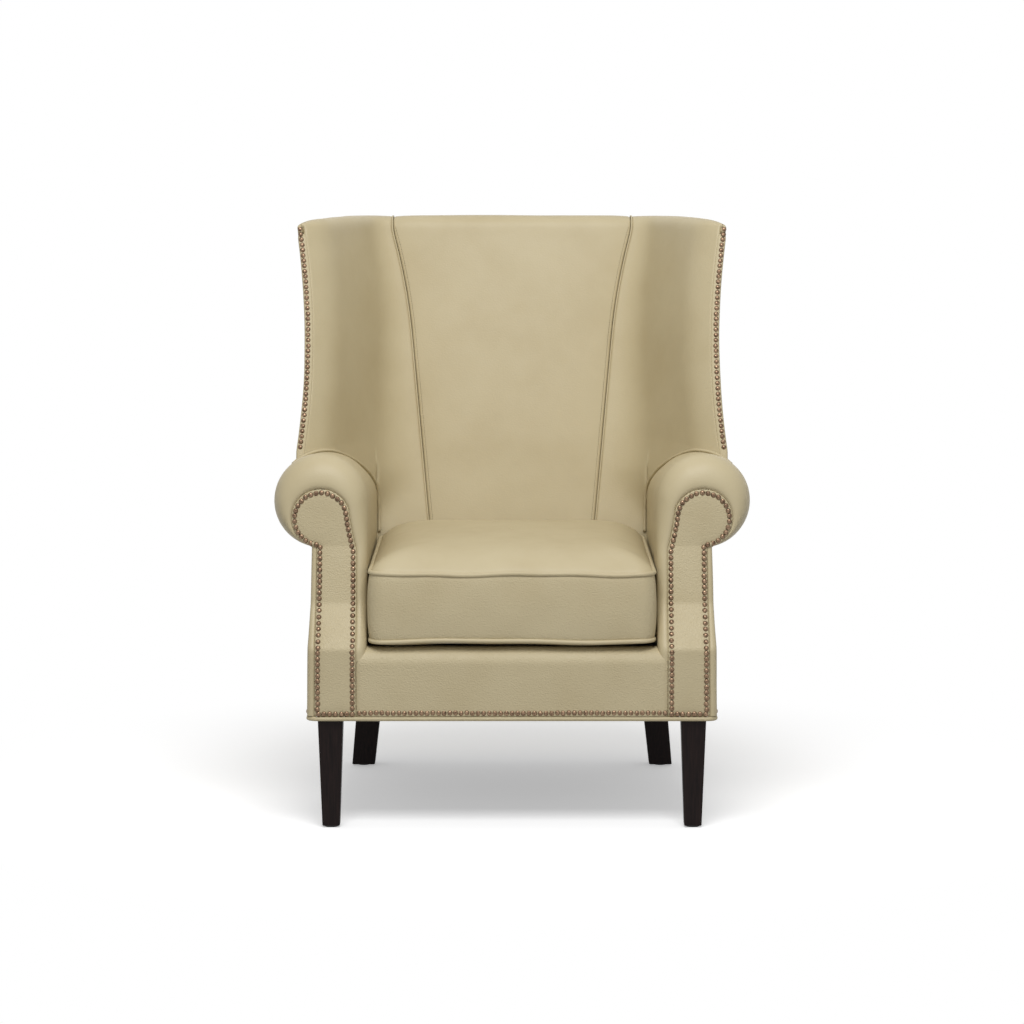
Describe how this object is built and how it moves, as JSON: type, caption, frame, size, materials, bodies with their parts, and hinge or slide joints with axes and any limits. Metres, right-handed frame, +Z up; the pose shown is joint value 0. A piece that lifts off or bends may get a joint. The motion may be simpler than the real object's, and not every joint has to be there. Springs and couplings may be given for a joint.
{
  "type": "wingback armchair",
  "caption": "Wingback armchair with scroll arms, a loose boxed seat cushion, flared wings, dome nail trim and tapered wooden legs.",
  "frame": {"origin": "on the floor under the middle of the chair's bounding box", "axes": "+Z up, -Y towards the front of the seat, X across the chair and square to its mirror plane; left and right are as seen from the front"},
  "size_m": [0.878, 0.8092, 1.0908],
  "materials": {
    "leather": "semi-matte, fine pebble grain",
    "welt_leather": "semi-matte, fine grain",
    "nail_bronze": "antique bronze, rubbed highlights",
    "leg_wood": "espresso stain, satin, fine grain",
    "frame_wood": "sawn hardwood",
    "steel": "plain",
    "glide_plastic": "matte black",
    "foam": "open cell foam",
    "black_cloth": "thin non-woven cloth",
    "webbing": "woven elastic",
    "zipper_tape": "woven tape with coil teeth",
    "slider_metal": "satin"
  },
  "bodies": {
    "chair": {"back_webbing": "webbing", "base_welt": "welt_leather", "corner_blocks": "frame_wood", "deck_pad": "black_cloth", "dust_cover": "black_cloth", "front_border": "leather", "front_rail_nails": "nail_bronze", "front_seat_rail": "frame_wood", "inside_back_panel": "leather", "left_arm_facing": "leather", "left_arm_nails": "nail_bronze", "left_arm_pad": "leather", "left_arm_rail": "frame_wood", "left_arm_welt": "welt_leather", "left_back_post": "frame_wood", "left_back_welt": "welt_leather", "left_front_leg": "leg_wood", "left_front_post": "frame_wood", "left_inside_wing": "leather", "left_outside_arm_cover": "leather", "left_outside_wing_cover": "leather", "left_rear_leg": "leg_wood", "left_seat_rail": "frame_wood", "left_side_nails": "nail_bronze", "left_wing_board": "frame_wood", "left_wing_nails": "nail_bronze", "leg_bolts": "steel", "leg_glides": "glide_plastic", "lower_back_rail": "frame_wood", "outside_back_cover": "leather", "rear_seat_rail": "frame_wood", "right_arm_facing": "leather", "right_arm_nails": "nail_bronze", "right_arm_pad": "leather", "right_arm_rail": "frame_wood", "right_arm_welt": "welt_leather", "right_back_post": "frame_wood", "right_back_welt": "welt_leather", "right_front_leg": "leg_wood", "right_front_post": "frame_wood", "right_inside_wing": "leather", "right_outside_arm_cover": "leather", "right_outside_wing_cover": "leather", "right_rear_leg": "leg_wood", "right_seat_rail": "frame_wood", "right_side_nails": "nail_bronze", "right_wing_board": "frame_wood", "right_wing_nails": "nail_bronze", "seat_springs": "steel", "spring_clips": "steel", "top_back_rail": "frame_wood", "wing_top_rails": "frame_wood"},
    "seat_cushion": {"cushion_bottom_panel": "leather", "cushion_bottom_welt": "welt_leather", "cushion_boxing": "leather", "cushion_core": "foam", "cushion_top_panel": "leather", "cushion_top_welt": "welt_leather", "cushion_zipper": "zipper_tape"},
    "zipper_slider": {"zipper_slider": "slider_metal"}
  },
  "joints": [
    {"name": "seat_cushion_lift", "type": "slide", "parent": "chair", "child": "seat_cushion", "axis": [0, 0, 1], "range_m": [0, 0.6]},
    {"name": "zipper_slide", "type": "slide", "parent": "seat_cushion", "child": "zipper_slider", "axis": [1, 0, 0], "range_m": [0, 0.42]}
  ]
}
